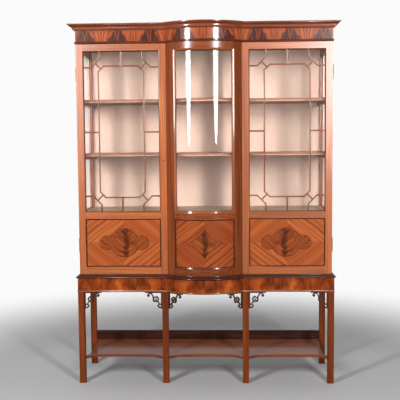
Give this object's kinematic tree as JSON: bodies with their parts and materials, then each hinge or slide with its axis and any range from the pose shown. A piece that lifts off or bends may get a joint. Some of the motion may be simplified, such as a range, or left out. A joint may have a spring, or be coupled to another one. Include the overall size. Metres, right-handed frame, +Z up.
{
  "type": "bowfront china cabinet",
  "caption": "Display cabinet with a curved glazed centre between hinged astragal-glazed doors over veneered panels, on an open square-legged stand with an undertier.",
  "frame": {"origin": "on the floor, under the middle of the whole outline", "axes": "+Z up, +Y towards the back, +X to the right of someone who faces the doors; the front faces -Y"},
  "size_m": [1.372, 0.4704, 1.85],
  "materials": {
    "door_mahogany": "french-polished mahogany with a straight open grain, semi-gloss",
    "case_mahogany": "polished mahogany, a little redder and darker than the doors, semi-gloss",
    "leg_mahogany": "solid mahogany, straight grain along the leg, satin",
    "dark_mahogany": "dark stained mahogany mouldings and undertier, gloss",
    "flame_veneer": "book-matched crotch mahogany veneer, gloss",
    "quartered_veneer": "quartered mahogany veneer with a crossbanded figure in the middle, gloss",
    "shelf_wood": "plain stained hardwood boards, satin",
    "back_wood": "unpolished secondary timber, matt",
    "lining_cloth": "peach woven lining cloth on a thin backing board, matt",
    "brass": "aged brass, satin",
    "glass": "clear old sheet glass"
  },
  "bodies": {
    "cabinet": {"stand_bead": "door_mahogany", "apron_end_left": "case_mahogany", "apron_end_right": "case_mahogany", "frieze_end_left": "case_mahogany", "frieze_end_right": "case_mahogany", "side_frame_left": "case_mahogany", "side_frame_right": "case_mahogany", "bow_frame": "case_mahogany", "leg_front_left": "leg_mahogany", "leg_front_right": "leg_mahogany", "leg_middle_left": "leg_mahogany", "leg_middle_right": "leg_mahogany", "leg_rear_left": "leg_mahogany", "leg_rear_right": "leg_mahogany", "stand_top": "dark_mahogany", "undertier": "dark_mahogany", "undertier_back_rail": "dark_mahogany", "necking_bead": "dark_mahogany", "cornice": "dark_mahogany", "bracket_end_left": "dark_mahogany", "bracket_end_right": "dark_mahogany", "bracket_middle_left": "dark_mahogany", "bracket_middle_right": "dark_mahogany", "bracket_bow_left": "dark_mahogany", "bracket_bow_right": "dark_mahogany", "apron_bow": "flame_veneer", "apron_front_left": "flame_veneer", "apron_front_right": "flame_veneer", "frieze_bow": "flame_veneer", "frieze_front_left": "flame_veneer", "frieze_front_right": "flame_veneer", "bow_panel": "quartered_veneer", "carcase_bottom": "shelf_wood", "display_floor": "shelf_wood", "shelf_upper": "shelf_wood", "shelf_lower": "shelf_wood", "carcase_top": "shelf_wood", "apron_back": "back_wood", "back_panel": "back_wood", "frieze_back": "back_wood", "back_lining": "lining_cloth", "hinge_lower_left": "brass", "hinge_lower_right": "brass", "hinge_upper_left": "brass", "hinge_upper_right": "brass", "bow_glass": "glass", "side_glass_left": "glass", "side_glass_right": "glass"},
    "door_left": {"door_frame_left": "door_mahogany", "glazing_bars_left": "case_mahogany", "door_glass_left": "glass", "door_panel_left": "quartered_veneer", "lock_left": "brass"},
    "bolt_left": {"lock_bolt_left": "brass"},
    "door_right": {"door_frame_right": "door_mahogany", "glazing_bars_right": "case_mahogany", "door_glass_right": "glass", "door_panel_right": "quartered_veneer", "lock_right": "brass"},
    "bolt_right": {"lock_bolt_right": "brass"}
  },
  "joints": [
    {"name": "door_left_hinge", "type": "hinge", "parent": "cabinet", "child": "door_left", "pos_m": [-0.6516, -0.10495, 1.1626], "axis": [0, 0, -1], "range_deg": [0, 165]},
    {"name": "bolt_left_slide", "type": "slide", "parent": "door_left", "child": "bolt_left", "axis": [1, 0, 0], "range_m": [0, 0.007]},
    {"name": "door_right_hinge", "type": "hinge", "parent": "cabinet", "child": "door_right", "pos_m": [0.6516, -0.10495, 1.1626], "axis": [0, 0, 1], "range_deg": [0, 165]},
    {"name": "bolt_right_slide", "type": "slide", "parent": "door_right", "child": "bolt_right", "axis": [-1, 0, 0], "range_m": [0, 0.007]}
  ]
}
